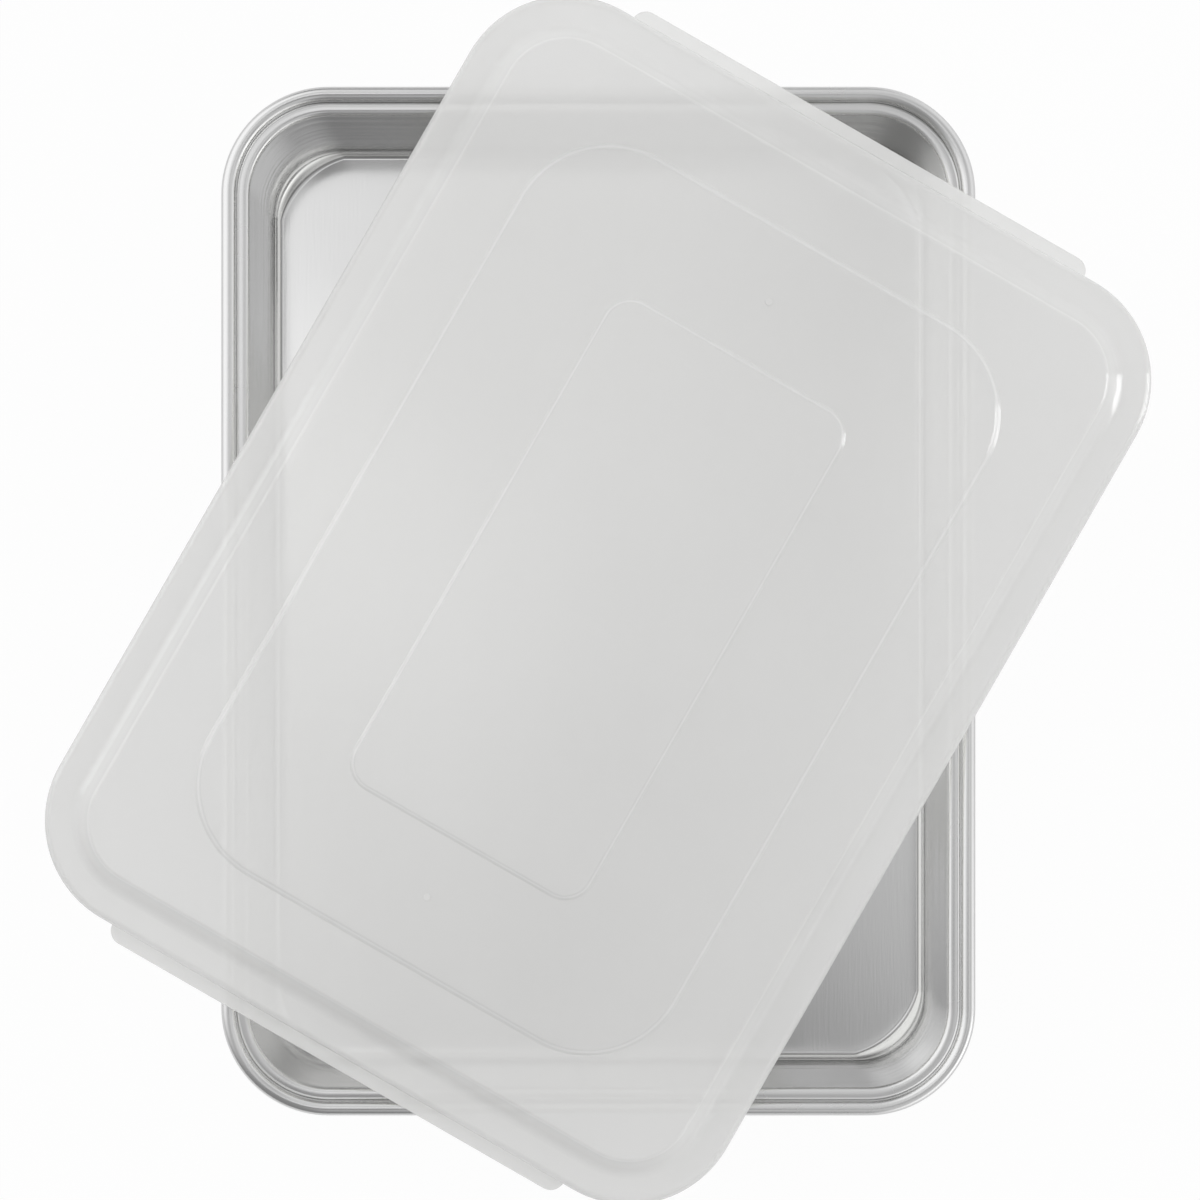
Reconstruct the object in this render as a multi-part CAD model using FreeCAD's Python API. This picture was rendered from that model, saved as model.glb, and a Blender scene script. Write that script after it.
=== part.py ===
import FreeCAD, Part
import math
import os

# Cake pan of drawn aluminium sheet with a moulded plastic lid lying across it.
# Millimetres and degrees. X runs across the pan, Y along it and Z up from the table.
# The origin is the centre of the pan's underside.

# Pan: drawn sheet with a rolled rim
rim_width = 266.4
rim_length = 363.4
rim_corner_radius = 38.0
pan_height = 57.0
pan_sheet = 1.0
wall_lean = 3.0
floor_bend = 4.0
lip_bend = 2.0
ledge_width = 1.7
curl_bend = 0.8
bead_diameter = 5.4
curl_turn = 300.0

# Wire inside the rolled rim
wire_clearance = 0.1
wire_end_gap = 1.0

# Lid: moulded in one piece, its wall the same thickness all over
lid_wall = 1.2
lid_clearance = 0.45
skirt_draft = 3.0
shoulder_bend = 2.6
plate_inset = 18.0
plate_rise = 6.2
plate_slope = 50.0
plate_foot_bend = 5.0
plate_edge_bend = 1.5

# Panels that step up from the lid's plate
panel_width = 187.5
panel_length = 287.5
panel_corner_radius = 36.0
panel_rise = 1.2
label_width = 95.5
label_length = 195.0
label_corner_radius = 11.0
label_rise = 1.0
step_slope = 30.0
step_edge_bend = 1.5
step_foot_bend = 0.5
step_margin = 1.0

# Snap bead inside the skirt, pull tabs at the short ends and gate marks on the panel
snap_radius = 0.8
snap_reach = 0.6
snap_height = 1.7
snap_play = 0.4
snap_sides = 6
tab_length = 183.0
tab_reach = 5.5
tab_thickness = 1.4
tab_corner_radius = 5.2
gate_spacing = 237.6
gate_diameter = 2.6
gate_height = 0.35

# The lid lies across the open pan, turned about the upright axis
lid_turn = -29.9
seat_gap = 0.2

# Bends are drawn as flats, each turning by no more than this
flat_turn = 30.0

ORIGIN = FreeCAD.Vector(0, 0, 0)
UP = FreeCAD.Vector(0, 0, 1)
CORNERS = ((1, 1), (-1, 1), (-1, -1), (1, -1))


class Frame:
    """A rounded rectangle about the origin, given by the centres of its corner arcs."""

    def __init__(self, width, length, corner_radius):
        self.corner_radius = corner_radius
        self.half_x = width / 2 - corner_radius
        self.half_y = length / 2 - corner_radius


def sine(degrees):
    return math.sin(math.radians(degrees))


def cosine(degrees):
    return math.cos(math.radians(degrees))


def in_section(reach, height):
    """A point of a section: reach counts outward from a corner centre."""
    return FreeCAD.Vector(reach, 0, height)


def on_circle(centre, radius, first, turn, steps):
    """Points of a section at even steps along an arc about the centre."""
    angles = [first + turn * step / steps for step in range(steps + 1)]
    return [centre + in_section(cosine(angle), sine(angle)) * radius for angle in angles]


def bend_edges(centre, radius, first, turn):
    """Short flats along a bend, and the point where it ends."""
    points = on_circle(centre, radius, first, turn, math.ceil(abs(turn) / flat_turn))
    return [Part.makeLine(start, end) for start, end in zip(points, points[1:])], points[-1]


def bent_section(reach, height, moves, thickness):
    """Face of a sheet that starts level at its upper side and follows its bends.

    A move is (length, 0) for a straight run or (radius, turn) for a bend, with the
    radius on the upper side and the turn in degrees, positive upward.
    """
    heading = 0.0
    upper = in_section(reach, height)
    lower = in_section(reach, height - thickness)
    near_end = Part.makeLine(lower, upper)
    upper_edges = []
    lower_edges = []
    for size, turn in moves:
        if turn:
            side = math.copysign(1.0, turn)
            first = heading - 90.0 * side
            centre = upper + in_section(-sine(heading), cosine(heading)) * (size * side)
            upper_bend, upper = bend_edges(centre, size, first, turn)
            lower_bend, lower = bend_edges(centre, size + thickness * side, first, turn)
            upper_edges += upper_bend
            lower_edges += lower_bend
            heading += turn
        else:
            run = in_section(cosine(heading), sine(heading)) * size
            upper_edges.append(Part.makeLine(upper, upper + run))
            lower_edges.append(Part.makeLine(lower, lower + run))
            upper = upper + run
            lower = lower + run
    far_end = Part.makeLine(upper, lower)
    edges = [near_end] + upper_edges + [far_end] + lower_edges[::-1]
    return Part.Face(Part.Wire(Part.__sortEdges__(edges)))


def rod_section(reach, height, radius, sides):
    """Face of a round rod, drawn with flats as the bends are."""
    return Part.Face(Part.makePolygon(on_circle(in_section(reach, height), radius, 0, 360, sides)))


def placed(shape, quarter, x, y):
    """The section turned by quarter turns about the upright and moved to a corner centre."""
    copy = shape.copy()
    copy.rotate(ORIGIN, UP, 90.0 * quarter)
    copy.translate(FreeCAD.Vector(x, y, 0))
    return copy


def carried_round(section, frame):
    """Solids of a section carried round the four sides and corners of a frame."""
    solids = []
    for quarter, (sign_x, sign_y) in enumerate(CORNERS):
        x = sign_x * frame.half_x
        y = sign_y * frame.half_y
        next_x, next_y = CORNERS[(quarter + 1) % 4]
        corner = placed(section, quarter, x, y)
        solids.append(corner.revolve(FreeCAD.Vector(x, y, 0), UP, 90.0))
        side = placed(section, quarter + 1, x, y)
        run = FreeCAD.Vector(next_x * frame.half_x - x, next_y * frame.half_y - y, 0)
        solids.append(side.extrude(run))
    return solids


def fused(solids):
    """One clean solid from solids that share faces."""
    return solids[0].multiFuse(solids[1:]).removeSplitter().Solids[0]


def slab(frame, top, thickness):
    """The flat middle between the corner centres of a frame."""
    corner = FreeCAD.Vector(-frame.half_x, -frame.half_y, top - thickness)
    return Part.makeBox(2 * frame.half_x, 2 * frame.half_y, thickness, corner)


def block(frame, reach, bottom, top):
    """Upright prism over a frame whose corner arcs have the radius given by reach."""
    section = bent_section(0, top, [(reach, 0)], top - bottom)
    return fused(carried_round(section, frame) + [slab(frame, top, top - bottom)])


def pan():
    """Drawn pan: floor, leaning wall, ledge and a rim rolled round its wire."""
    frame = Frame(rim_width, rim_length, rim_corner_radius)
    wall_turn = 90.0 - wall_lean
    bead_height = pan_height - bead_diameter / 2
    ledge_height = bead_height - curl_bend
    bends_rise = (floor_bend + lip_bend) * (1 - cosine(wall_turn))
    wall_length = (ledge_height - pan_sheet - bends_rise) / sine(wall_turn)
    bends_run = (floor_bend + lip_bend) * sine(wall_turn)
    wall_run = wall_length * cosine(wall_turn)
    rim_run = ledge_width + curl_bend + bead_diameter
    floor_reach = rim_corner_radius - rim_run - bends_run - wall_run
    moves = [
        (floor_reach, 0),
        (floor_bend, wall_turn),
        (wall_length, 0),
        (lip_bend, -wall_turn),
        (ledge_width, 0),
        (curl_bend, 90.0),
        (bead_diameter / 2, -curl_turn),
    ]
    section = bent_section(0, pan_sheet, moves, pan_sheet)
    return fused(carried_round(section, frame) + [slab(frame, pan_sheet, pan_sheet)])


def rim_wire():
    """Round wire bent to the rim, with its two ends butted in one long side."""
    frame = Frame(rim_width, rim_length, rim_corner_radius)
    wire_radius = bead_diameter / 2 - pan_sheet - wire_clearance
    reach = rim_corner_radius - bead_diameter / 2
    sides = math.ceil(360.0 / flat_turn)
    section = rod_section(reach, pan_height - bead_diameter / 2, wire_radius, sides)
    loop = fused(carried_round(section, frame))
    gap_corner = FreeCAD.Vector(frame.half_x, -wire_end_gap / 2, 0)
    gap = Part.makeBox(rim_width, wire_end_gap, pan_height, gap_corner)
    return loop.cut(gap).Solids[0]


def slope_moves(rise, slope, edge_bend, foot_bend):
    """Moves down a slope between two level stretches, and the run that they take."""
    bends = edge_bend + foot_bend
    straight = (rise - bends * (1 - cosine(slope))) / sine(slope)
    run = bends * sine(slope) + straight * cosine(slope)
    return [(edge_bend, -slope), (straight, 0), (foot_bend, slope)], run


def stepped_panel(shell, width, length, corner_radius, base, rise):
    """The shell with a panel stepped up from its flat top, the wall's thickness kept."""
    frame = Frame(width, length, corner_radius)
    moves, run = slope_moves(rise, step_slope, step_edge_bend, step_foot_bend)
    moves = [(corner_radius - run, 0)] + moves + [(step_margin, 0)]
    section = bent_section(0, base + rise, moves, lid_wall)
    top = slab(frame, base + rise, lid_wall)
    panel = fused(carried_round(section, frame) + [top])
    hole = block(frame, corner_radius + step_margin, base - 2 * lid_wall, base + lid_wall)
    return fused([shell.cut(hole), panel])


def pull_tab(end):
    """Flat lip along one short end, level with the skirt's lower edge."""
    root = lid_length() / 2 - lid_wall / 2
    depth = tab_reach + lid_wall / 2
    corner = FreeCAD.Vector(-tab_length / 2, root, 0)
    lip = Part.makeBox(tab_length, depth, tab_thickness, corner)
    outer = [
        edge
        for edge in lip.Edges
        if edge.BoundBox.ZLength > tab_thickness / 2 and edge.BoundBox.YMin > root + depth / 2
    ]
    lip = lip.makeFillet(tab_corner_radius, outer)
    lip.rotate(ORIGIN, UP, 180.0 * end)
    return lip


def lid_width():
    return rim_width + 2 * (lid_clearance + lid_wall)


def lid_length():
    return rim_length + 2 * (lid_clearance + lid_wall)


def lid():
    """Lid as moulded, its skirt's lower edge at height zero, then laid on the rim."""
    corner_radius = rim_corner_radius + lid_clearance + lid_wall
    frame = Frame(lid_width(), lid_length(), corner_radius)
    band_height = snap_height + snap_radius + snap_play + bead_diameter + lid_wall
    plate_height = band_height + plate_rise
    skirt_turn = 90.0 - skirt_draft
    down, down_run = slope_moves(plate_rise, plate_slope, plate_edge_bend, plate_foot_bend)
    shoulder_drop = shoulder_bend * (1 - cosine(skirt_turn))
    skirt_length = (band_height - shoulder_drop) / sine(skirt_turn)
    skirt_run = skirt_length * cosine(skirt_turn) + shoulder_bend * sine(skirt_turn)
    spare_length = 2 * lid_wall * sine(skirt_draft)
    plate_reach = corner_radius - plate_inset
    band_width = plate_inset - down_run - skirt_run
    moves = [(plate_reach, 0)] + down + [(band_width, 0)]
    moves += [(shoulder_bend, -skirt_turn), (skirt_length + spare_length, 0)]
    section = bent_section(0, plate_height, moves, lid_wall)
    shell = fused(carried_round(section, frame) + [slab(frame, plate_height, lid_wall)])
    shell = shell.cut(block(frame, corner_radius + lid_wall, -band_height, 0))

    shell = stepped_panel(
        shell, panel_width, panel_length, panel_corner_radius, plate_height, panel_rise
    )
    panel_height = plate_height + panel_rise
    shell = stepped_panel(
        shell, label_width, label_length, label_corner_radius, panel_height, label_rise
    )

    skirt_face = corner_radius - lid_wall - snap_height * sine(skirt_draft)
    snap_centre = skirt_face + snap_radius - snap_reach
    snap_section = rod_section(snap_centre, snap_height, snap_radius, snap_sides)
    additions = [fused(carried_round(snap_section, frame))]
    additions += [pull_tab(end) for end in (0, 1)]
    for end in (-1, 1):
        foot = FreeCAD.Vector(0, end * gate_spacing / 2, panel_height - lid_wall / 2)
        additions.append(Part.makeCylinder(gate_diameter / 2, lid_wall / 2 + gate_height, foot))
    shell = fused([shell] + additions)

    shell.rotate(ORIGIN, UP, lid_turn)
    shell.translate(UP * (pan_height + seat_gap))
    return shell


def main():
    os.makedirs("parts", exist_ok=True)
    pieces = {"pan": pan(), "rim_wire": rim_wire(), "lid": lid()}
    for name, shape in pieces.items():
        shape.exportStep(os.path.join("parts", name + ".step"))
        box = shape.BoundBox
        print(
            name,
            "valid" if shape.isValid() else "NOT VALID",
            "solids", len(shape.Solids),
            "volume", round(shape.Volume, 1),
            "size", round(box.XLength, 2), round(box.YLength, 2), round(box.ZLength, 2),
            "lowest", round(box.ZMin, 3),
        )


main()
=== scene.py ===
import math
import bpy
import mathutils
import numpy as np
from bpy.props import FloatProperty, FloatVectorProperty, PointerProperty
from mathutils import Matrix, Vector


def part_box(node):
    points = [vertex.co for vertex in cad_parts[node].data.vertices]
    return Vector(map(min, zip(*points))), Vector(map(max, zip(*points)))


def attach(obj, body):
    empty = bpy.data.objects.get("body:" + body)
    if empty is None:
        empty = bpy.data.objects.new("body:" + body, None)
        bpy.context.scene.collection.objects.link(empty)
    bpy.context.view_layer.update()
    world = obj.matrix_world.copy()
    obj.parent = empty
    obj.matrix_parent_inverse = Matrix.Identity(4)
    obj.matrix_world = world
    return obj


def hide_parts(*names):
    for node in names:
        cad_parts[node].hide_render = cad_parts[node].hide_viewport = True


bl_info = {
    "name": "Cake Pan with Lid",
    "version": (1, 0, 0),
    "blender": (4, 5, 0),
    "location": "3D View > Sidebar > Bakeware",
    "description": "Drawn aluminium cake pan with a rolled rim, and its milky plastic lid",
    "category": "Add Mesh",
}

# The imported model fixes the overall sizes, in metres.
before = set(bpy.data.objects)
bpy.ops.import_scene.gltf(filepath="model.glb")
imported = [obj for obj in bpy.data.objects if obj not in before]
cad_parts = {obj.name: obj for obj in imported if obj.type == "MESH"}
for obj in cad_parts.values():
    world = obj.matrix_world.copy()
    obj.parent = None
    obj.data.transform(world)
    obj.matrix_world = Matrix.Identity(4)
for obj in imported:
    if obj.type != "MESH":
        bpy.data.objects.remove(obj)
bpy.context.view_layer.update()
PAN_LOW, PAN_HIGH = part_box("pan")
LID_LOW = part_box("lid")[0]
BODY = "root"

MM = 0.001
CORNERS = ((1, 1), (-1, 1), (-1, -1), (1, -1))
CORNER_STEPS = 26
SIDE_STEP = 9 * MM
WIRE_SIDES = 28
SHARP_ANGLE = math.radians(42.0)

# Lamps that light only the lid: azimuth from +X and tilt from straight above in degrees, then
# distance, width and height in metres.
SIDE_STRIP = (0.0, 69.0, 3.4, 1.15, 3.7)
REAR_STRIP = (158.0, 66.0, 3.2, 1.0, 2.8)
OVERHEAD_WASH = (90.0, 20.0, 2.5, 2.0, 2.0)


def length(name, description, millimetres):
    """Property for a length, given in millimetres and kept in metres."""
    return FloatProperty(
        name=name, description=description, default=millimetres * MM, unit="LENGTH", precision=5
    )


def angle(name, description, degrees):
    """Property for an angle, given in degrees."""
    return FloatProperty(
        name=name, description=description, default=math.radians(degrees), subtype="ANGLE"
    )


def share(name, description, value):
    """Property for a plain number from 0 to 1."""
    return FloatProperty(
        name=name, description=description, default=value, min=0.0, max=1.0, subtype="FACTOR"
    )


def colour(name, description, value):
    """Property for a colour."""
    return FloatVectorProperty(
        name=name, description=description, default=value, size=3, min=0.0, max=1.0,
        subtype="COLOR",
    )


# Brighter round panels of the studio room: azimuth from +X and tilt from straight above, the
# angle out to which each is full, the angle at which it has faded away, and its radiance.
PANELS = (
    (155, 60, 20, 52, 0.90),
    (168, 20, 6, 18, 0.22),
    (180, 8, 2, 9, 0.38),
    (20, 95, 35, 75, 0.64),
    (90, 50, 10, 28, 0.44),
    (0, 20, 6, 20, 0.49),
    (120, 11, 2, 12, 0.55),
    (290, 38, 10, 26, 0.36),
    (0, 4, 2, 9, 0.12),
    (80, 24, 5, 14, 0.35),
    (315, 95, 20, 50, 1.01),
)


class PanSizes(bpy.types.PropertyGroup):
    """Sizes of the drawn pan and the wire in its rim."""

    width: length("Width", "Width over the rolled rim", (PAN_HIGH[0] - PAN_LOW[0]) / MM)
    long: length("Length", "Length over the rolled rim", (PAN_HIGH[1] - PAN_LOW[1]) / MM)
    height: length("Height", "Height from the table to the top of the rim", PAN_HIGH[2] / MM)
    corner: length("Corner Radius", "Radius of the rim's corners seen from above", 38.0)
    sheet: length("Sheet", "Thickness of the sheet", 1.0)
    lean: angle("Wall Lean", "Outward lean of the walls", 3.0)
    floor_bend: length("Floor Bend", "Inside radius between floor and walls", 3.2)
    corner_bend: length("Corner Bend", "The same radius in the middle of a corner", 6.2)
    lip_bend: length("Lip Bend", "Outer radius between wall and ledge", 2.0)
    ledge: length("Ledge", "Width of the ledge inside the rolled rim", 1.7)
    crown: angle("Ledge Crown", "How much each side of the ledge falls away", 7.0)
    curl_bend: length("Curl Bend", "Radius of the hollow between ledge and rolled rim", 0.8)
    bead: length("Bead", "Diameter of the rolled rim", 5.4)
    curl: angle("Curl", "How far the rim is rolled round its wire", 300.0)
    wire: length("Wire", "Diameter of the wire in the rolled rim", 3.2)
    wire_gap: length("Wire Gap", "Space between the wire's butted ends", 1.0)


class LidSizes(bpy.types.PropertyGroup):
    """Sizes of the lid as moulded, before it is laid on the rim."""

    overhang: length("Overhang", "How far the skirt stands outside the pan's rim", 1.65)
    wall: length("Wall", "Thickness of the moulding", 1.2)
    draft: angle("Draft", "Lean of the skirt", 3.0)
    band: length("Band Height", "Height of the rim band over the skirt's edge", 9.5)
    shoulder: length("Shoulder", "Radius between skirt and rim band", 2.6)
    plate_inset: length("Plate Inset", "From the outline to the raised plate", 18.0)
    plate_rise: length("Plate Rise", "Height of the plate over the rim band", 6.2)
    plate_slope: angle("Plate Slope", "Slope up to the plate", 50.0)
    plate_foot: length("Plate Foot", "Hollow radius at the foot of the slope", 5.0)
    plate_edge: length("Plate Edge", "Radius at the top of the slope", 1.5)
    panel_width: length("Panel Width", "Width of the broad panel", 187.5)
    panel_long: length("Panel Length", "Length of the broad panel", 287.5)
    panel_corner: length("Panel Corner", "Corner radius of the broad panel", 36.0)
    panel_rise: length("Panel Rise", "Height of the panel over the plate", 1.2)
    label_width: length("Label Width", "Width of the plain label field", 95.5)
    label_long: length("Label Length", "Length of the plain label field", 195.0)
    label_corner: length("Label Corner", "Corner radius of the label field", 11.0)
    label_rise: length("Label Rise", "Height of the label field over the panel", 1.0)
    step_slope: angle("Step Slope", "Slope of both low steps", 30.0)
    step_edge: length("Step Edge", "Radius at the top of a low step", 1.5)
    step_foot: length("Step Foot", "Hollow radius at the foot of a low step", 0.5)
    snap: length("Snap Bead", "Radius of the snap bead inside the skirt", 0.8)
    snap_reach: length("Snap Reach", "How far the snap bead stands inward", 0.6)
    snap_height: length("Snap Height", "Height of the snap bead over the skirt's edge", 1.7)
    tab_long: length("Tab Length", "Length of a pull tab", 183.0)
    tab_reach: length("Tab Reach", "How far a pull tab stands out", 5.5)
    tab_thick: length("Tab Thickness", "Thickness of a pull tab", 1.4)
    tab_corner: length("Tab Corner", "Corner radius of a pull tab", 5.2)
    gate_spacing: length("Gate Spacing", "Distance between the two gate marks", 237.6)
    gate: length("Gate Mark", "Diameter of a gate mark", 2.6)
    gate_rise: length("Gate Rise", "Height of a gate mark", 0.35)
    turn: angle("Turn", "How far the lid lies turned on the rim", -29.9)


class Finishes(bpy.types.PropertyGroup):
    """Colours and gloss of the metal and the plastic."""

    metal: colour("Aluminium", "Colour of the drawn sheet", (0.765, 0.765, 0.765))
    floor_rough: share("Floor Roughness", "Roughness of the satin floor", 0.11)
    wall_rough: share("Wall Roughness", "Roughness of the drawn walls", 0.17)
    rim_rough: share("Rim Roughness", "Roughness of the rolled rim", 0.26)
    # Painted shade: how far the creases are coloured darker, and the dark colour they are mixed
    # toward.
    painted_shade: share("Grease", "How much of the creases the drawing grease darkens", 0.85)
    painted_shade_colour: colour("Grease Colour", "Colour of the greasy creases", (0.2, 0.2, 0.2))
    zinc: colour("Zinc", "Colour of the galvanised wire", (0.62, 0.63, 0.65))
    plastic: colour("Plastic", "Colour of the milky lid", (0.905, 0.904, 0.898))
    # Painted light: a paler colour put on the steps, edges, shoulder and slopes, standing in for
    # gloss lines and light scattered in the plastic.
    plastic_painted_light: colour("Plastic Edge", "Its colour on the steps", (0.98, 0.98, 0.975))
    plastic_rough: share("Plastic Roughness", "Roughness of the lid", 0.06)
    step_rough: share("Step Roughness", "How much rougher the low steps are", 0.4)
    plastic_cover: share("Plastic Cover", "How much one face of the lid hides", 0.6)
    plastic_glow: share("Plastic Glow", "How much light the lid lets on to the pan", 0.85)


class StudioSizes(bpy.types.PropertyGroup):
    """The floor, the lamps and the camera."""

    stage_colour: colour("Floor", "Colour of the studio floor", (0.95, 0.95, 0.95))
    stage_size: length("Floor Size", "Side of the square studio floor", 8000.0)
    stage_seen: share("Floor Seen", "How white the bare floor shows to the eye", 0.955)
    stage_mirrored: share("Floor Mirrored", "How white it shows in gloss", 0.3)
    side: FloatProperty(name="Side", description="Radiance of the right strip", default=8.0)
    rear: FloatProperty(name="Rear", description="Radiance of the left strip", default=1.9)
    wash: FloatProperty(name="Wash", description="Radiance of the lamp over the lid", default=0.5)
    room: FloatProperty(name="Room", description="Level from all round", default=0.275)
    panels: FloatProperty(name="Panels", description="Level of the panels", default=1.06)
    camera_right: length("Camera Right", "Lens to the right of the pan's middle", 7.5)
    camera_front: length("Camera Front", "Lens in front of the pan's middle", 30.0)
    camera_height: length("Camera Height", "Height of the lens over the rim", 950.0)
    lens: FloatProperty(
        name="Lens", description="Focal length", default=80.88, min=1.0, unit="CAMERA"
    )
    shift: FloatVectorProperty(
        name="Shift", description="Shift of the frame, right and up", default=(-0.0163, 0.0717),
        size=2, precision=4,
    )


def stations(half_x, half_y, extra_x=()):
    """Stations round a rounded rectangle, anticlockwise: corner share x and y, outward x and y.

    extra_x are further places along the short ends, as x from the middle.
    """
    rows = []
    for quarter, (sign_x, sign_y) in enumerate(CORNERS):
        for step in range(CORNER_STEPS + 1):
            turn = math.radians(90.0) * (quarter + step / CORNER_STEPS)
            rows.append((sign_x, sign_y, math.cos(turn), math.sin(turn)))
        next_x, next_y = CORNERS[(quarter + 1) % 4]
        run = 2 * (half_x if quarter % 2 == 0 else half_y)
        count = math.ceil(run / SIDE_STEP)
        shares = {step / count for step in range(1, count)}
        if quarter % 2 == 0:
            marks = {0.5 + place / run for place in extra_x}
            shares = {value for value in shares if min(
                (abs(value - mark) for mark in marks), default=1.0) > 0.3 * SIDE_STEP / run}
            shares |= marks
        out = (round(math.cos(math.radians(90.0) * (quarter + 1))),
               round(math.sin(math.radians(90.0) * (quarter + 1))))
        for value in sorted(shares):
            rows.append((
                sign_x + (next_x - sign_x) * value, sign_y + (next_y - sign_y) * value, *out
            ))
    return np.array(rows)


def ring(path, outline, reach, height):
    """Points of one ring: the corner centres of the outline and the reach out from them."""
    half_x, half_y = outline
    x = path[:, 0] * half_x + path[:, 2] * reach
    y = path[:, 1] * half_y + path[:, 3] * reach
    return np.column_stack([x, y, np.broadcast_to(height, x.shape)])


def centres(width, long, corner):
    """Corner centres of a rounded rectangle."""
    return width / 2 - corner, long / 2 - corner


class Section:
    """A line drawn across a sheet from the middle outward, with its upper side known.

    Each point holds its outline's corner centres, reach, height and heading.
    """

    def __init__(self, outline, reach, height):
        self.outline = outline
        self.points = [(outline, reach, height, 0.0)]

    @property
    def end(self):
        return self.points[-1]

    def run(self, distance):
        """Straight on."""
        outline, reach, height, heading = self.end
        reach = reach + math.cos(heading) * distance
        height = height + math.sin(heading) * distance
        self.points.append((outline, reach, height, heading))

    def bend(self, radius, turn, steps):
        """Round a bend whose radius is on the upper side; a positive turn is upward."""
        outline, reach, height, heading = self.end
        side = math.copysign(1.0, turn)
        centre_reach = reach - math.sin(heading) * radius * side
        centre_height = height + math.cos(heading) * radius * side
        for step in range(1, steps + 1):
            now = heading + turn * step / steps
            self.points.append((
                outline,
                centre_reach + math.sin(now) * radius * side,
                centre_height - math.cos(now) * radius * side,
                now,
            ))

    def move_to(self, outline, reach):
        """Level on to a reach of another outline."""
        self.outline = outline
        self.points.append((outline, reach, self.end[2], self.end[3]))

    def slope(self, rise, steep, edge, foot, steps):
        """Down a slope between two level stretches."""
        bends = (edge + foot) * (1 - math.cos(steep))
        self.bend(edge, -steep, steps)
        self.run((rise - bends) / math.sin(steep))
        self.bend(foot, steep, steps)

    def upper(self, path):
        """Rings along the upper side, outward."""
        return [ring(path, outline, reach, height) for outline, reach, height, _ in self.points]

    def lower(self, path, thickness):
        """Rings along the lower side, inward."""
        return [
            ring(path, outline, reach + math.sin(heading) * thickness,
                 height - math.cos(heading) * thickness)
            for outline, reach, height, heading in reversed(self.points)
        ]


def slope_run(rise, steep, edge, foot):
    """How far a slope reaches outward."""
    bends = edge + foot
    straight = (rise - bends * (1 - math.cos(steep))) / math.sin(steep)
    return bends * math.sin(steep) + straight * math.cos(steep)


def ring_faces(count, rings, first=0):
    """Quads between rings, with the first and the last ring closed by a cap."""
    faces = [tuple(range(first, first + count))]
    for level in range(rings - 1):
        near = first + level * count
        far = near + count
        for here in range(count):
            after = (here + 1) % count
            faces.append((near + here, far + here, far + after, near + after))
    last = first + (rings - 1) * count
    faces.append(tuple(range(last + count - 1, last - 1, -1)))
    return faces


def add_piece(name, points, faces, material, node):
    """One piece of the object, shaded smooth except at its sharp edges."""
    mesh = bpy.data.meshes.new(name)
    mesh.from_pydata([tuple(point) for point in points], [], faces)
    mesh.validate()
    mesh.shade_smooth()
    mesh.set_sharp_from_angle(angle=SHARP_ANGLE)
    mesh.materials.append(material)
    piece = bpy.data.objects.new(name, mesh)
    bpy.context.scene.collection.objects.link(piece)
    weighted = piece.modifiers.new("flat faces stay flat", "WEIGHTED_NORMAL")
    weighted.keep_sharp = True
    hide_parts(node)
    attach(piece, BODY)
    return piece


def add_node(tree, kind, inputs=(), **settings):
    """A shader node with its settings, and a value or a link for each input."""
    made = tree.nodes.new(kind)
    for key, value in settings.items():
        setattr(made, key, value)
    for key, value in dict(inputs).items():
        if isinstance(value, bpy.types.NodeSocket):
            tree.links.new(value, made.inputs[key])
        else:
            made.inputs[key].default_value = value
    return made


def new_material(name):
    """An empty node material with its output, and the place of each point on the object."""
    material = bpy.data.materials.new(name)
    material.use_nodes = True
    tree = material.node_tree
    tree.nodes.clear()
    output = tree.nodes.new("ShaderNodeOutputMaterial")
    place = tree.nodes.new("ShaderNodeTexCoord").outputs["Object"]
    return material, tree, output, place


def stretched(tree, place, scale):
    """The place with each axis scaled, for grain that runs one way."""
    return add_node(tree, "ShaderNodeMapping", {"Vector": place, "Scale": scale}).outputs[0]


def noise(tree, place, scale, detail=2.0, rough=0.5):
    """Noise from 0 to 1."""
    inputs = {"Vector": place, "Scale": scale, "Detail": detail, "Roughness": rough}
    return add_node(tree, "ShaderNodeTexNoise", inputs).outputs["Fac"]


def ramp(tree, value, start, end, low=0.0, high=1.0):
    """A smooth change from low to high between start and end."""
    inputs = {"Value": value, "From Min": start, "From Max": end, "To Min": low, "To Max": high}
    made = add_node(tree, "ShaderNodeMapRange", inputs, interpolation_type="SMOOTHSTEP")
    return made.outputs["Result"]


def maths(tree, operation, first, second):
    """Two values put together."""
    return add_node(
        tree, "ShaderNodeMath", {0: first, 1: second}, operation=operation
    ).outputs[0]


def tinted(tree, base, factor, low, high):
    """The base colour made darker or lighter by a factor."""
    level = ramp(tree, factor, 0.25, 0.75, low, high)
    made = add_node(tree, "ShaderNodeMix", {
        "Factor": 1.0, "A": (*base, 1.0), "B": level,
    }, data_type="RGBA", blend_type="MULTIPLY")
    return made.outputs["Result"]


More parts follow.
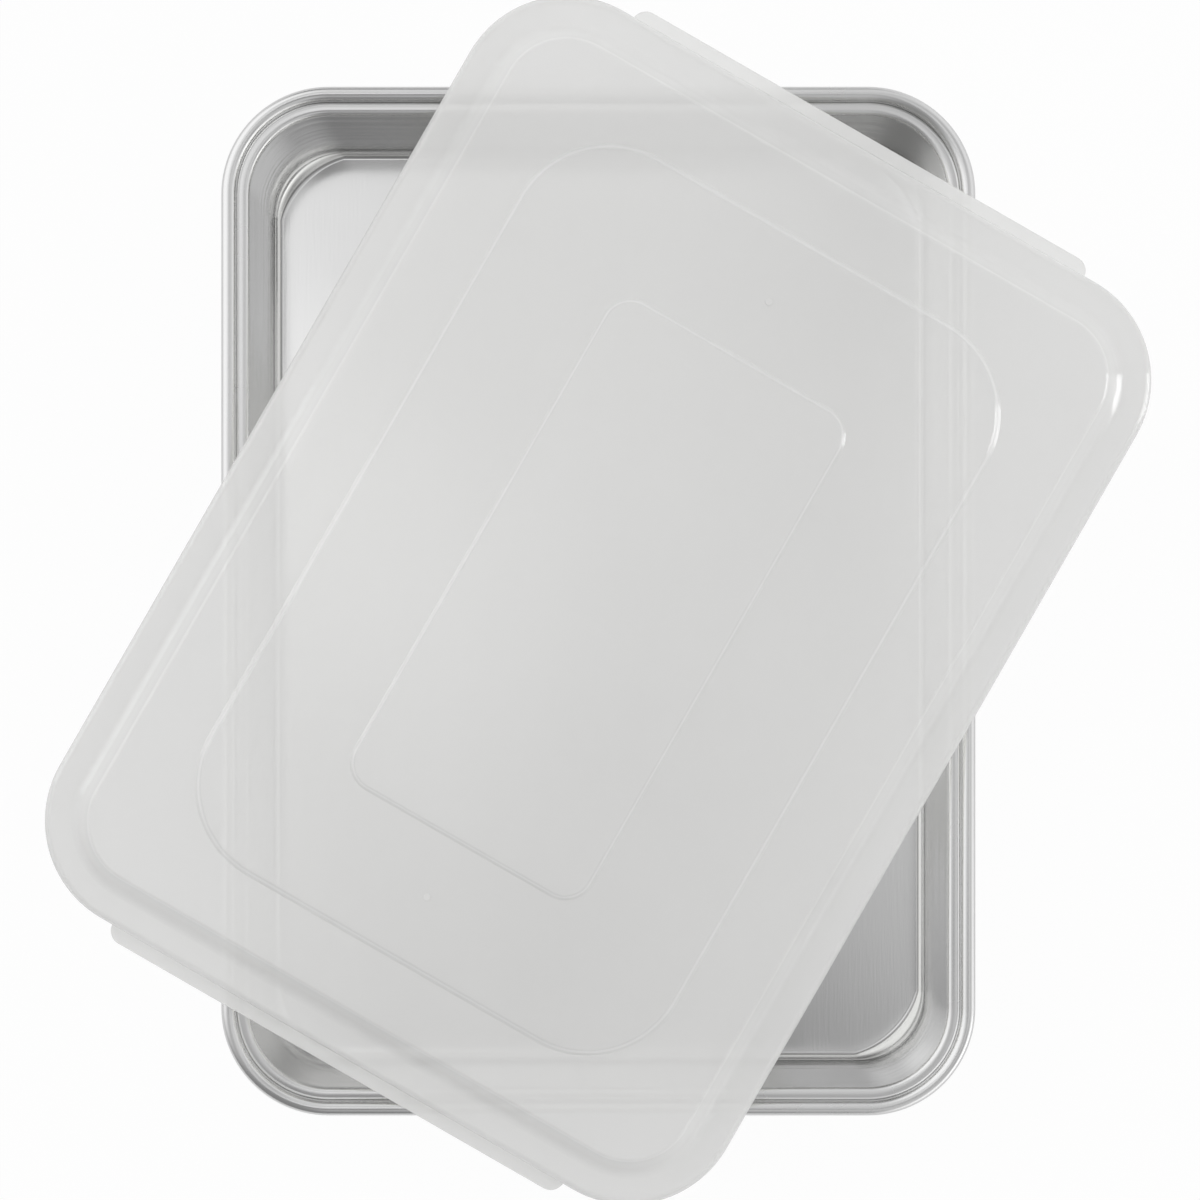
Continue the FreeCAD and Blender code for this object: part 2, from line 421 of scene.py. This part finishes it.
def drawn_aluminium(finish, sizes):
    """Satin floor, brighter drawn walls with upright draw marks, and a smooth rolled rim.

    Painted shade darkens the creases at the floor's edge and beside the rim's bead.
    """
    height = sizes.height
    ledge = height - sizes.bead / 2 - sizes.curl_bend
    material, tree, output, place = new_material("drawn_aluminium")
    up = add_node(tree, "ShaderNodeSeparateXYZ", {0: place}).outputs["Z"]
    on_floor = ramp(tree, up, sizes.sheet + 0.03 * MM, sizes.sheet + 0.4 * MM, 1.0, 0.0)
    on_rim = ramp(tree, up, height - 6 * MM, height - 3.6 * MM)

    clouds = noise(tree, place, 22.0, 2.0, 0.55)
    grain = noise(tree, stretched(tree, place, (1.0, 0.06, 1.0)), 1500.0, 1.0, 0.6)
    marks = noise(tree, stretched(tree, place, (0.02, 0.02, 1.0)), 260.0, 1.0, 0.5)
    pits = noise(tree, place, 3200.0, 0.0, 0.5)

    rough = add_node(tree, "ShaderNodeMix", {
        "Factor": on_floor, "A": finish.wall_rough, "B": finish.floor_rough,
    }).outputs[0]
    rough = add_node(tree, "ShaderNodeMix", {
        "Factor": on_rim, "A": rough, "B": finish.rim_rough,
    }).outputs[0]
    rough = maths(tree, "ADD", rough, ramp(tree, clouds, 0.3, 0.7, -0.025, 0.03))
    rough = maths(tree, "ADD", rough, ramp(tree, marks, 0.3, 0.7, -0.02, 0.02))

    on_wall = maths(tree, "SUBTRACT", 1.0, maths(tree, "MAXIMUM", on_floor, on_rim))
    relief = maths(tree, "MULTIPLY", grain, on_floor)
    relief = maths(tree, "ADD", relief, maths(tree, "MULTIPLY", pits, 0.2))
    bump = add_node(tree, "ShaderNodeBump", {
        "Strength": 0.12, "Distance": 0.05 * MM, "Height": relief,
    }).outputs[0]
    bump = add_node(tree, "ShaderNodeBump", {
        "Strength": 1.0, "Distance": 0.2 * MM, "Height": maths(tree, "MULTIPLY", marks, on_wall),
        "Normal": bump,
    }).outputs[0]
    waves = noise(tree, place, 9.0, 0.0, 0.4)
    bump = add_node(tree, "ShaderNodeBump", {
        "Strength": 0.25, "Distance": 0.6 * MM, "Height": waves, "Normal": bump,
    }).outputs[0]

    # Painted shade: the crease at the floor's edge and the hollow beside the bead are mixed
    # toward a dark colour, where shade falls.
    crease = maths(
        tree, "MAXIMUM", between(tree, up, sizes.sheet, sizes.sheet + 0.35 * MM),
        between(tree, up, ledge + 0.1 * MM, ledge + 1.5 * MM),
    )
    shaded_sheet_colour = add_node(tree, "ShaderNodeMix", {
        "Factor": maths(tree, "MULTIPLY", crease, finish.painted_shade),
        "A": tinted(tree, finish.metal, clouds, 0.965, 1.0),
        "B": (*finish.painted_shade_colour, 1.0),
    }, data_type="RGBA").outputs["Result"]

    shader = add_node(tree, "ShaderNodeBsdfPrincipled", {
        "Base Color": shaded_sheet_colour,
        "Metallic": 1.0,
        "Roughness": rough,
        "Normal": bump,
    })
    tree.links.new(shader.outputs[0], output.inputs["Surface"])
    return material


def galvanised_wire(finish):
    """Dull zinc with its crystal pattern and drawing lines."""
    material, tree, output, place = new_material("galvanised_wire")
    spangle = add_node(tree, "ShaderNodeTexVoronoi", {"Vector": place, "Scale": 600.0})
    pattern = add_node(tree, "ShaderNodeSeparateColor", {0: spangle.outputs["Color"]})
    fine = noise(tree, place, 2400.0, 3.0, 0.6)
    bump = add_node(tree, "ShaderNodeBump", {
        "Strength": 0.2, "Distance": 0.03 * MM, "Height": fine,
    }).outputs[0]
    shader = add_node(tree, "ShaderNodeBsdfPrincipled", {
        "Base Color": tinted(tree, finish.zinc, pattern.outputs[0], 0.86, 1.0),
        "Metallic": 1.0,
        "Roughness": ramp(tree, fine, 0.3, 0.7, 0.4, 0.52),
        "Normal": bump,
    })
    tree.links.new(shader.outputs[0], output.inputs["Surface"])
    return material


def between(tree, value, low, high):
    """A soft hump from 0 up to 1 and back to 0 between low and high."""
    middle = (low + high) / 2
    rising = ramp(tree, value, low, middle)
    falling = ramp(tree, value, middle, high, 1.0, 0.0)
    return maths(tree, "MINIMUM", rising, falling)


def milky_plastic(finish, sizes):
    """Translucent moulded plastic with a satin skin and cloudy flow, and painted light on its
    steps, edges, shoulder and slopes.
    """
    material, tree, output, place = new_material("milky_plastic")
    up = add_node(tree, "ShaderNodeSeparateXYZ", {0: place}).outputs["Z"]

    # Painted highlight and painted glow: the slopes, step edges and the skirt's shoulder are
    # coloured paler than the flats, in place of gloss lines and light scattered inside the
    # plastic.
    plate = LID_LOW[2] + sizes.band + sizes.plate_rise
    panel = plate + sizes.panel_rise
    label = panel + sizes.label_rise
    low = 0.2 * sizes.panel_rise
    steps = maths(tree, "MAXIMUM", between(tree, up, plate + low, panel),
                  between(tree, up, panel + low, label))
    edge = between(tree, up, plate - 0.2 * sizes.plate_rise, plate)
    band = LID_LOW[2] + sizes.band
    skirt = ramp(tree, up, band - sizes.shoulder, band - 0.05 * sizes.shoulder, 0.8, 0.0)
    slope = maths(tree, "MULTIPLY", between(tree, up, band, plate), 0.55)
    # Mask of the painted highlight and glow: full on the steps, the plate's edge and the
    # shoulder, and weaker on the plate's slope.
    pale = maths(tree, "MAXIMUM", maths(tree, "MAXIMUM", steps, edge),
                 maths(tree, "MAXIMUM", skirt, slope))

    # The skin's fine relief fades out on the low steps, which are rougher and flatter in gloss.
    flow = noise(tree, stretched(tree, place, (1.0, 0.5, 1.0)), 16.0, 1.0, 0.5)
    skin = noise(tree, place, 180.0, 0.0, 0.6)
    bump = add_node(tree, "ShaderNodeBump", {
        "Strength": 0.1, "Distance": 0.1 * MM, "Height": skin,
    }).outputs[0]
    soft = add_node(tree, "ShaderNodeMix", {
        "Factor": maths(tree, "MULTIPLY", steps, 0.6), "A": bump, "B": (0.0, 0.0, 1.0),
    }, data_type="VECTOR").outputs["Result"]
    soft = add_node(tree, "ShaderNodeVectorMath", {0: soft}, operation="NORMALIZE").outputs[0]
    rough = maths(tree, "ADD", ramp(tree, flow, 0.3, 0.7, -0.02, 0.02), finish.plastic_rough)
    rough = maths(tree, "ADD", rough, maths(tree, "MULTIPLY", steps, finish.step_rough))
    # The skin colour is mixed toward the paler colour wherever light is painted on.
    skin_and_painted_light = add_node(tree, "ShaderNodeMix", {
        "Factor": pale, "A": tinted(tree, finish.plastic, flow, 0.985, 1.0),
        "B": (*finish.plastic_painted_light, 1.0),
    }, data_type="RGBA").outputs["Result"]
    shader = add_node(tree, "ShaderNodeBsdfPrincipled", {
        "Base Color": skin_and_painted_light,
        "Roughness": rough,
        "IOR": 1.49,
        "Alpha": finish.plastic_cover,
        "Normal": soft,
    })

    # Light and gloss pass through more freely than sight, as in plastic that scatters forward.
    light = tree.nodes.new("ShaderNodeLightPath")
    onward = maths(
        tree, "MAXIMUM", light.outputs["Is Shadow Ray"], light.outputs["Is Glossy Ray"]
    )
    clear = add_node(tree, "ShaderNodeBsdfTransparent", {"Color": (0.97, 0.97, 0.96, 1.0)})
    lit = add_node(tree, "ShaderNodeMixShader", {
        0: maths(tree, "MULTIPLY", onward, finish.plastic_glow),
        1: shader.outputs[0], 2: clear.outputs[0],
    })
    tree.links.new(lit.outputs[0], output.inputs["Surface"])
    return material


def floor_finish(studio):
    """Pale floor that shows white to the eye and in gloss, and keeps a soft shadow."""
    material, tree, output = new_material("studio_floor")[:3]
    light = tree.nodes.new("ShaderNodeLightPath")
    bare = maths(tree, "LESS_THAN", light.outputs["Transparent Depth"], 0.5)
    seen = maths(tree, "MULTIPLY", light.outputs["Is Camera Ray"], bare)
    mirrored = maths(
        tree, "MAXIMUM", light.outputs["Is Glossy Ray"], light.outputs["Is Transmission Ray"]
    )
    seen = maths(
        tree, "MAXIMUM", maths(tree, "MULTIPLY", seen, studio.stage_seen),
        maths(tree, "MULTIPLY", mirrored, studio.stage_mirrored),
    )
    plain = add_node(tree, "ShaderNodeBsdfDiffuse", {"Color": (*studio.stage_colour, 1.0)})
    white = add_node(tree, "ShaderNodeEmission", {"Color": (1, 1, 1, 1), "Strength": 1.0})
    both = add_node(tree, "ShaderNodeMixShader", {
        0: seen, 1: plain.outputs[0], 2: white.outputs[0],
    })
    tree.links.new(both.outputs[0], output.inputs["Surface"])
    return material


def pan_section(sizes, outline, path):
    """The drawn sheet from the middle of the floor to the end of its rolled rim."""
    upright = math.radians(90.0) - sizes.lean
    corner_share = (np.abs(path[:, 2]) + np.abs(path[:, 3]) - 1) / (math.sqrt(2) - 1)
    floor_bend = sizes.floor_bend + (sizes.corner_bend - sizes.floor_bend) * corner_share
    ledge_height = sizes.height - sizes.bead / 2 - sizes.curl_bend
    lip_rise = sizes.lip_bend * (math.cos(sizes.crown) - math.cos(upright))
    lip_run = sizes.lip_bend * (math.sin(upright) - math.sin(sizes.crown))
    rise = ledge_height - sizes.sheet - floor_bend * (1 - math.cos(upright)) - lip_rise
    wall = rise / math.sin(upright)
    rim_run = sizes.ledge + sizes.curl_bend * (1 + math.sin(sizes.crown)) + sizes.bead
    floor = (sizes.corner - rim_run - lip_run - floor_bend * math.sin(upright)
             - wall * math.cos(upright))
    section = Section(outline, floor, sizes.sheet)
    section.bend(floor_bend, upright, 18)
    section.run(wall)
    section.bend(sizes.lip_bend, sizes.crown - upright, 12)
    section.bend(sizes.ledge / (2 * math.sin(sizes.crown)), -2 * sizes.crown, 6)
    section.bend(sizes.curl_bend, math.radians(90.0) + sizes.crown, 10)
    section.bend(sizes.bead / 2, -sizes.curl, 50)
    return section


def sheet_end(path, section, thickness, steps=4):
    """Rings round the softened edge where the sheet was cut."""
    outline, reach, height, heading = section.end
    radius = 0.35 * thickness
    rings = []
    for side in (1, -1):
        for step in range(steps):
            turn = math.radians(90.0) * (step + 0.5) / steps
            if side < 0:
                turn = math.radians(90.0) - turn
            along = radius * math.sin(turn)
            depth = thickness / 2 - side * (thickness / 2 - radius + radius * math.cos(turn))
            rings.append(ring(
                path, outline,
                reach + math.cos(heading) * along + math.sin(heading) * depth,
                height + math.sin(heading) * along - math.cos(heading) * depth,
            ))
    return rings


class BAKEWARE_OT_pan(bpy.types.Operator):
    """Add the drawn pan with its rolled rim."""

    bl_idname = "bakeware.pan"
    bl_label = "Drawn Pan"

    def execute(self, context):
        sizes = context.scene.pan_sizes
        outline = centres(sizes.width, sizes.long, sizes.corner)
        path = stations(*outline)
        section = pan_section(sizes, outline, path)
        rings = section.upper(path)
        rings += sheet_end(path, section, sizes.sheet)
        rings += section.lower(path, sizes.sheet)
        add_piece(
            "pan_shell", np.concatenate(rings), ring_faces(len(path), len(rings)),
            drawn_aluminium(context.scene.finishes, sizes), "pan",
        )
        return {"FINISHED"}


class BAKEWARE_OT_wire(bpy.types.Operator):
    """Add the round wire inside the rolled rim."""

    bl_idname = "bakeware.wire"
    bl_label = "Rim Wire"

    def execute(self, context):
        sizes = context.scene.pan_sizes
        outline = centres(sizes.width, sizes.long, sizes.corner)
        path = stations(*outline)
        reach = sizes.corner - sizes.bead / 2
        height = sizes.height - sizes.bead / 2
        radius = sizes.wire / 2
        middle = ring(path, outline, reach, height)
        # The wire starts and ends at the middle of the right side.
        split = int(np.argmax((path[:, 2] > 0.999) & (path[:, 1] > -1e-6) & (path[:, 1] < 1)))
        order = np.roll(np.arange(len(path)), -split)
        line = [middle[index] for index in order]
        ways = [path[index, 2:4] for index in order]
        start = np.array([outline[0] + reach, sizes.wire_gap / 2, height])
        finish = start * (1, -1, 1)
        keep = [index for index, point in enumerate(line)
                if not (point[0] > outline[0] and abs(point[1]) < sizes.wire_gap)]
        line = [start] + [line[index] for index in keep] + [finish]
        ways = [np.array([1.0, 0.0])] + [ways[index] for index in keep] + [np.array([1.0, 0.0])]
        points = []
        for point, way in zip(line, ways):
            for side in range(WIRE_SIDES):
                turn = 2 * math.pi * side / WIRE_SIDES
                out = math.cos(turn) * radius
                points.append((
                    point[0] + way[0] * out, point[1] + way[1] * out,
                    point[2] + math.sin(turn) * radius,
                ))
        add_piece(
            "wire_loop", points, ring_faces(WIRE_SIDES, len(line)),
            galvanised_wire(context.scene.finishes), "rim_wire",
        )
        return {"FINISHED"}


def lid_section(sizes, outline, corner):
    """The moulding's upper side from the label field out to the skirt's lower edge."""
    label = centres(sizes.label_width, sizes.label_long, sizes.label_corner)
    panel = centres(sizes.panel_width, sizes.panel_long, sizes.panel_corner)
    step = (sizes.step_slope, sizes.step_edge, sizes.step_foot)
    plate_height = sizes.band + sizes.plate_rise
    top = plate_height + sizes.panel_rise + sizes.label_rise
    upright = math.radians(90.0) - sizes.draft
    section = Section(label, sizes.label_corner - slope_run(sizes.label_rise, *step), top)
    section.slope(sizes.label_rise, *step, 5)
    section.move_to(panel, sizes.panel_corner - slope_run(sizes.panel_rise, *step))
    section.slope(sizes.panel_rise, *step, 5)
    section.move_to(outline, corner - sizes.plate_inset)
    section.slope(
        sizes.plate_rise, sizes.plate_slope, sizes.plate_edge, sizes.plate_foot, 9
    )
    skirt = (sizes.band - sizes.shoulder * (1 - math.cos(upright))) / math.sin(upright)
    skirt_run = skirt * math.cos(upright) + sizes.shoulder * math.sin(upright)
    section.run(corner - skirt_run - section.end[1])
    section.bend(sizes.shoulder, -upright, 14)
    return section


def tab_outline(sizes, steps=9):
    """Places along a pull tab's end and how far the tab stands out there."""
    straight = sizes.tab_long / 2 - sizes.tab_corner
    side = sizes.tab_reach - sizes.tab_corner
    turns = [math.radians(90.0) * step / steps for step in range(steps + 1)]
    places = [straight + sizes.tab_corner * math.sin(turn) for turn in turns]
    stands = [side + sizes.tab_corner * math.cos(turn) for turn in turns]
    return places, stands


def skirt_foot(sizes, path, outline, corner):
    """Rings round the skirt's lower edge, which runs out into a pull tab at each short end."""
    lean = math.tan(sizes.draft)
    places, stands = tab_outline(sizes)
    across = np.abs(path[:, 0] * outline[0] + path[:, 2] * 1e-6)
    at_end = np.abs(path[:, 3]) > 0.99999
    on_tab = at_end & (across <= places[-1] + 1e-6)
    stand = np.where(on_tab, np.interp(across, places, stands), 0.0)
    soft = np.minimum(1.0, stand / MM)
    thick = sizes.tab_thick
    edge = 0.3 * MM

    def skirt_reach(height):
        return corner - lean * height

    rings = []

    def add(tab_out, tab_height, plain_in, plain_height):
        reach = np.where(on_tab, skirt_reach(tab_height) + tab_out,
                         skirt_reach(plain_height) - plain_in)
        height = np.where(on_tab, tab_height, plain_height)
        rings.append(ring(path, outline, reach, height))

    add(0.0, thick + 0.5 * MM, 0.0, thick + 0.5 * MM)
    add(0.07 * MM * soft, thick + 0.2 * MM, 0.0, thick + 0.2 * MM)
    add(0.2 * MM * soft, thick + 0.07 * MM, 0.0, thick)
    add(0.5 * MM * soft, thick, 0.0, thick - 0.2 * MM)
    add(stand - 0.35 * MM * soft, thick, 0.0, thick - 0.4 * MM)
    add(stand - 0.1 * MM * soft, thick - 0.1 * MM, 0.0, thick - 0.6 * MM)
    add(stand, thick - 0.35 * MM, 0.0, thick - 0.8 * MM)
    add(stand, 0.35 * MM, 0.0, edge)
    add(stand - 0.1 * MM * soft, 0.1 * MM, 0.3 * edge, 0.3 * edge)
    add(stand - 0.35 * MM * soft, 0.0, edge, 0.0)
    inner = corner - sizes.wall
    rings.append(ring(path, outline, inner + edge, 0.0))
    rings.append(ring(path, outline, inner + 0.3 * edge, 0.3 * edge))
    rings.append(ring(path, outline, inner - lean * edge, edge))

    face = inner - sizes.snap_height * math.sin(sizes.draft)
    centre = face + sizes.snap - sizes.snap_reach
    span = math.acos((sizes.snap - sizes.snap_reach) / sizes.snap)
    for step in range(9):
        turn = span * (step / 4 - 1)
        rings.append(ring(
            path, outline, centre - sizes.snap * math.cos(turn),
            sizes.snap_height + sizes.snap * math.sin(turn),
        ))
    return rings


def gate_mark(sizes, end, height, sides=28):
    """A low round stub where the plastic was fed in, set into the panel."""
    middle = end * sizes.gate_spacing / 2
    radius = sizes.gate / 2
    soft = 0.3 * sizes.gate_rise
    levels = (
        (radius - 3 * soft, sizes.gate_rise - 0.5 * soft), (radius - soft, sizes.gate_rise),
        (radius - 0.3 * soft, sizes.gate_rise - 0.3 * soft), (radius, sizes.gate_rise - soft),
        (radius, -0.4 * sizes.wall),
    )
    return [
        np.array([
            (reach * math.cos(2 * math.pi * side / sides),
             middle + reach * math.sin(2 * math.pi * side / sides), height + rise)
            for side in range(sides)
        ])
        for reach, rise in levels
    ]


class BAKEWARE_OT_lid(bpy.types.Operator):
    """Add the moulded lid, turned on the rim."""

    bl_idname = "bakeware.lid"
    bl_label = "Moulded Lid"

    def execute(self, context):
        scene = context.scene
        sizes = scene.lid_sizes
        pan = scene.pan_sizes
        corner = pan.corner + sizes.overhang
        outline = centres(
            pan.width + 2 * sizes.overhang, pan.long + 2 * sizes.overhang, corner
        )
        places = tab_outline(sizes)[0]
        marks = places + [places[-1] + 0.15 * MM, places[-1] + 0.9 * MM]
        path = stations(*outline, extra_x=marks + [-mark for mark in marks])
        section = lid_section(sizes, outline, corner)
        rings = section.upper(path)
        rings += skirt_foot(sizes, path, outline, corner)
        rings += section.lower(path, sizes.wall)
        points = np.concatenate(rings)
        faces = ring_faces(len(path), len(rings))
        panel_height = sizes.band + sizes.plate_rise + sizes.panel_rise
        for end in (-1, 1):
            stub = gate_mark(sizes, end, panel_height)
            faces += ring_faces(len(stub[0]), len(stub), len(points))
            points = np.concatenate([points] + stub)
        cosine, sine = math.cos(sizes.turn), math.sin(sizes.turn)
        turned = points @ np.array([[cosine, sine, 0], [-sine, cosine, 0], [0, 0, 1]])
        turned[:, 2] += LID_LOW[2]
        add_piece(
            "lid_moulding", turned, faces, milky_plastic(scene.finishes, sizes),
            "lid",
        )
        return {"FINISHED"}


def aim(azimuth, tilt):
    """Direction from the pan: azimuth from +X, tilt from straight above, in degrees."""
    azimuth = math.radians(azimuth)
    tilt = math.radians(tilt)
    return mathutils.Vector((
        math.sin(tilt) * math.cos(azimuth), math.sin(tilt) * math.sin(azimuth), math.cos(tilt)
    ))


def softbox(name, azimuth, tilt, distance, width, height, radiance):
    """An area lamp aimed at the pan: azimuth from +X, tilt from straight above."""
    lamp = bpy.data.lights.new(name, "AREA")
    lamp.shape = "RECTANGLE"
    lamp.size = width
    lamp.size_y = height
    lamp.energy = radiance * math.pi * width * height
    holder = bpy.data.objects.new(name, lamp)
    bpy.context.scene.collection.objects.link(holder)
    away = aim(azimuth, tilt)
    holder.location = away * distance + mathutils.Vector((0, 0, PAN_HIGH[2]))
    holder.rotation_euler = away.to_track_quat("Z", "Y").to_euler()
    return holder


def light_only(lamp, name):
    """Keep a lamp to the piece of that name."""
    lit = bpy.data.collections.new(lamp.name + "_lights")
    lit.objects.link(bpy.data.objects[name])
    lamp.light_linking.receiver_collection = lit


def spread(tree, way, azimuth, tilt, inner, outer, radiance):
    """A round panel of the room, full within the inner angle and fading to the outer one."""
    near = add_node(tree, "ShaderNodeVectorMath", {
        0: way, 1: aim(azimuth, tilt),
    }, operation="DOT_PRODUCT").outputs["Value"]
    return ramp(
        tree, near, math.cos(math.radians(outer)), math.cos(math.radians(inner)), 0.0, radiance
    )


def room_light(studio):
    """Soft light from all round, with the brighter panels in it."""
    world = bpy.data.worlds.new("studio_room")
    world.use_nodes = True
    tree = world.node_tree
    tree.nodes.clear()
    output = tree.nodes.new("ShaderNodeOutputWorld")
    way = tree.nodes.new("ShaderNodeTexCoord").outputs["Generated"]
    level = studio.room
    for azimuth, tilt, inner, outer, radiance in PANELS:
        panel = spread(tree, way, azimuth, tilt, inner, outer, radiance * studio.panels)
        level = maths(tree, "ADD", level, panel)
    back = add_node(tree, "ShaderNodeBackground", {"Color": (1, 1, 1, 1), "Strength": level})
    tree.links.new(back.outputs[0], output.inputs["Surface"])
    bpy.context.scene.world = world


class BAKEWARE_OT_studio(bpy.types.Operator):
    """Add the pale floor, the lamps and the camera."""

    bl_idname = "bakeware.studio"
    bl_label = "Studio"

    def execute(self, context):
        scene = context.scene
        studio = scene.studio_sizes
        half = studio.stage_size / 2
        mesh = bpy.data.meshes.new("studio_floor")
        mesh.from_pydata(
            [(-half, -half, 0), (half, -half, 0), (half, half, 0), (-half, half, 0)], [],
            [(0, 1, 2, 3)],
        )
        mesh.materials.append(floor_finish(studio))
        ground = bpy.data.objects.new("studio_floor", mesh)
        ground.location.z = -0.2 * MM
        scene.collection.objects.link(ground)

        side = softbox("side_strip", *SIDE_STRIP, studio.side)
        rear = softbox("rear_strip", *REAR_STRIP, studio.rear)
        for strip in (side, rear):
            light_only(strip, "lid_moulding")
            strip.visible_diffuse = False
        wash = softbox("overhead_wash", *OVERHEAD_WASH, studio.wash)
        light_only(wash, "lid_moulding")
        wash.visible_glossy = False
        room_light(studio)

        lens = bpy.data.cameras.new("camera")
        lens.lens = studio.lens
        lens.sensor_width = 36.0
        camera = bpy.data.objects.new("camera", lens)
        scene.collection.objects.link(camera)
        camera.location = (
            studio.camera_right, -studio.camera_front, PAN_HIGH[2] + studio.camera_height
        )
        lens.shift_x, lens.shift_y = studio.shift
        scene.camera = camera
        scene.view_settings.view_transform = "Standard"
        return {"FINISHED"}


OPERATORS = (BAKEWARE_OT_pan, BAKEWARE_OT_wire, BAKEWARE_OT_lid, BAKEWARE_OT_studio)


class BAKEWARE_PT_panel(bpy.types.Panel):
    """Lists the pieces of the pan and the lid."""

    bl_idname = "BAKEWARE_PT_panel"
    bl_label = "Cake Pan with Lid"
    bl_space_type = "VIEW_3D"
    bl_region_type = "UI"
    bl_category = "Bakeware"

    def draw(self, context):
        for operator in OPERATORS:
            self.layout.operator(operator.bl_idname)


GROUPS = {
    "pan_sizes": PanSizes,
    "lid_sizes": LidSizes,
    "finishes": Finishes,
    "studio_sizes": StudioSizes,
}


def register():
    """Register the groups of sizes, the operators and the panel."""
    for made in (*GROUPS.values(), *OPERATORS, BAKEWARE_PT_panel):
        bpy.utils.register_class(made)
    for name, group in GROUPS.items():
        setattr(bpy.types.Scene, name, PointerProperty(type=group))


def unregister():
    """Take them out again."""
    for name in GROUPS:
        delattr(bpy.types.Scene, name)
    for made in (BAKEWARE_PT_panel, *reversed(OPERATORS), *reversed(GROUPS.values())):
        bpy.utils.unregister_class(made)


def main():
    """Add every piece and the studio."""
    register()
    bpy.ops.bakeware.pan()
    bpy.ops.bakeware.wire()
    bpy.ops.bakeware.lid()
    bpy.ops.bakeware.studio()


if __name__ == "__main__":
    main()
